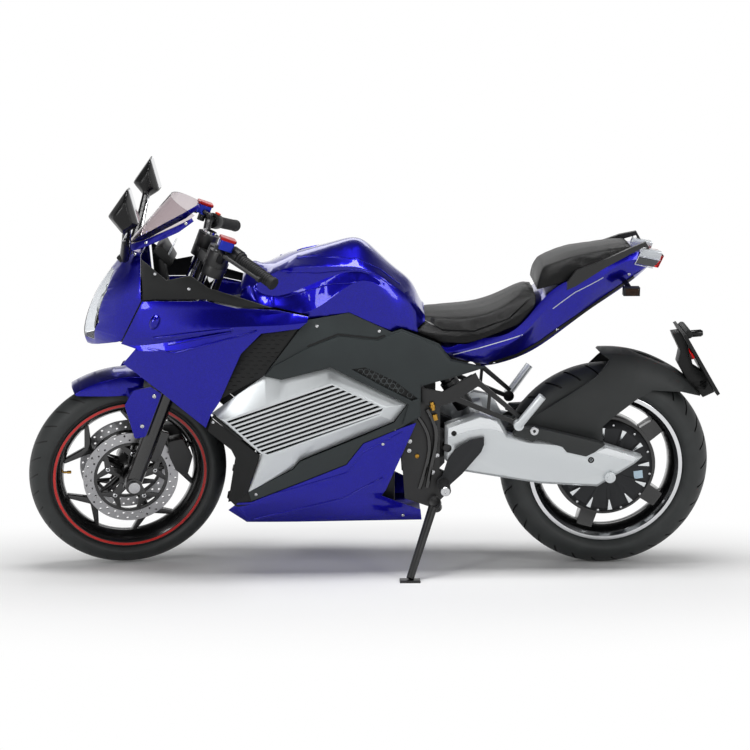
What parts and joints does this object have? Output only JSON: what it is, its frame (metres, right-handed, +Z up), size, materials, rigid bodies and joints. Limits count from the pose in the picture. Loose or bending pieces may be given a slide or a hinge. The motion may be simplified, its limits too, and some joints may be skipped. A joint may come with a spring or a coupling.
{
  "type": "electric motorcycle",
  "caption": "Sports motorcycle with a hub motor in the rear wheel, slatted side covers and clip-on bars, parked on its side stand.",
  "frame": {"origin": "on the floor under the middle of the parked machine", "axes": "+X forward, +Y to the rider's left, +Z up; the machine leans to +Y on its side stand"},
  "size_m": [2.0036, 0.7062, 1.2118],
  "materials": {
    "frame_black": "satin",
    "plain_plastic": "matte",
    "blue_paint": "gloss",
    "clear_lens": "gloss",
    "lamp_body": "satin",
    "smoked_screen": "gloss",
    "black_plastic": "satin",
    "grey_plastic": "matte",
    "silver_paint": "satin",
    "seat_vinyl": "satin",
    "red_lens": "gloss",
    "steel": "brushed",
    "chrome": "polished",
    "tyre_rubber": "matte",
    "grip_rubber": "matte",
    "wheel_black": "gloss",
    "red_metal": "anodised",
    "blue_metal": "anodised",
    "disc_steel": "brushed"
  },
  "bodies": {
    "chassis": {"main_frame": "frame_black", "seat_rails": "frame_black", "battery_pack": "plain_plastic", "front_stay": "frame_black", "nose_cowl": "blue_paint", "headlamp_lens": "clear_lens", "headlamp_unit": "lamp_body", "windscreen": "smoked_screen", "screen_trim": "blue_paint", "instrument": "black_plastic", "cockpit_panels": "black_plastic", "side_fairings": "blue_paint", "infill_panels": "black_plastic", "side_covers": "grey_plastic", "vent_meshes": "black_plastic", "grille_panels": "silver_paint", "duct_panels": "black_plastic", "belly_pan": "blue_paint", "tank_cover": "blue_paint", "rider_seat": "seat_vinyl", "pillion_seat": "seat_vinyl", "tail_cowl": "blue_paint", "grab_rails": "frame_black", "tail_lamp": "red_lens", "rear_indicators": "black_plastic", "swingarm": "silver_paint", "rear_axle": "steel", "rear_shock": "frame_black", "rear_hugger": "grey_plastic", "plate_bracket": "black_plastic", "rear_caliper": "frame_black", "rider_pegs": "frame_black", "passenger_hangers": "frame_black", "passenger_pegs": "steel", "mirrors": "black_plastic"},
    "steering": {"fork_sliders": "frame_black", "fork_tubes": "chrome", "yokes": "frame_black", "front_axle": "steel", "front_mudguard": "blue_paint", "mudguard_stays": "blue_paint", "front_calipers": "frame_black", "handlebars": "frame_black", "grips": "grip_rubber", "switch_pods": "black_plastic", "levers": "frame_black", "reservoirs": "blue_metal", "reservoir_caps": "red_metal"},
    "front_wheel": {"front_tyre": "tyre_rubber", "front_rim": "wheel_black", "front_discs": "disc_steel"},
    "rear_wheel": {"rear_tyre": "tyre_rubber", "rear_rim": "wheel_black", "hub_motor": "wheel_black", "rear_disc": "disc_steel"},
    "side_stand": {"stand_leg": "frame_black"}
  },
  "joints": [
    {"name": "steering_turn", "type": "hinge", "parent": "chassis", "child": "steering", "pos_m": [0.47083, -0.03781, 0.82851], "axis": [-0.3647, 0.1504, 0.9189], "range_deg": [-42, 14]},
    {"name": "front_wheel_spin", "type": "hinge", "parent": "steering", "child": "front_wheel", "pos_m": [0.71493, -0.11973, 0.28585], "axis": [-0.2256, 0.9432, -0.2439], "continuous": true},
    {"name": "rear_wheel_spin", "type": "hinge", "parent": "chassis", "child": "rear_wheel", "pos_m": [-0.68426, -0.1241, 0.30384], "axis": [-0.0003, 0.9869, -0.1616], "continuous": true},
    {"name": "side_stand_fold", "type": "hinge", "parent": "chassis", "child": "side_stand", "pos_m": [-0.17644, 0.02593, 0.21037], "axis": [0.2189, 0.8618, 0.4576], "range_deg": [0, 113.78]}
  ]
}
